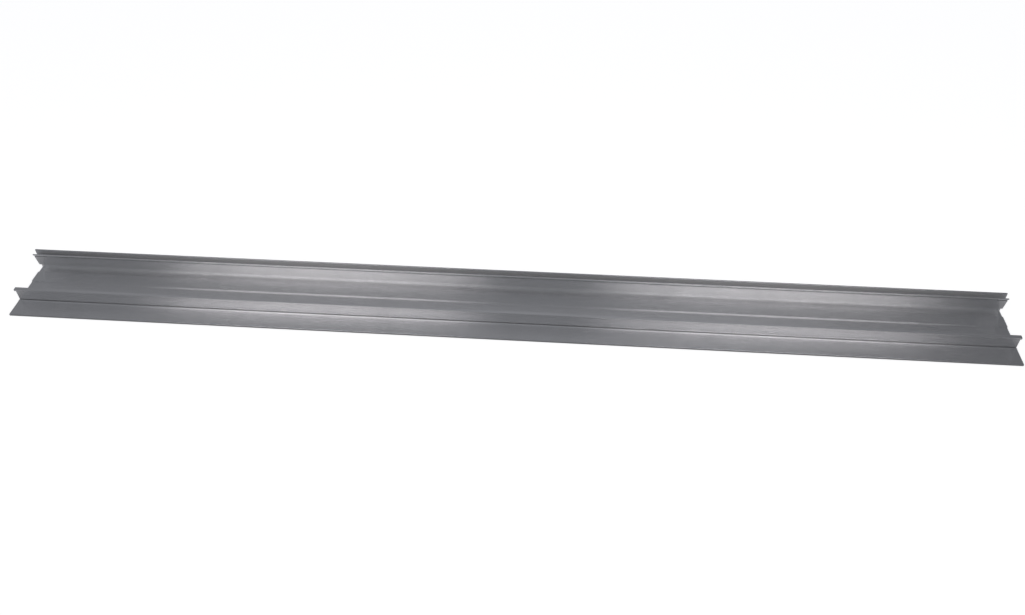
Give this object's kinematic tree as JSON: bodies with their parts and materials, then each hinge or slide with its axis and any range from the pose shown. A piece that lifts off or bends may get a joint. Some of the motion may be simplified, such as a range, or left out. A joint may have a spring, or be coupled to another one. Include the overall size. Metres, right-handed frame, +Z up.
{
  "type": "aluminium extrusion profile",
  "caption": "Straight aluminium extrusion: flat base with a front flange, a low nosed wall, a raised pad, and a tall back wall whose leaning, lipped leg holds a tapered groove.",
  "frame": {"origin": "middle of the length and width, on the underside of the base, which is the floor", "axes": "+X along the length, +Y from the flange's front edge to the back wall, +Z up"},
  "size_m": [1, 0.0766, 0.0255],
  "materials": {
    "mill_aluminium": "mill finish with fine drawn lines along the length"
  },
  "bodies": {
    "root": {"profile": "mill_aluminium"}
  },
  "joints": []
}
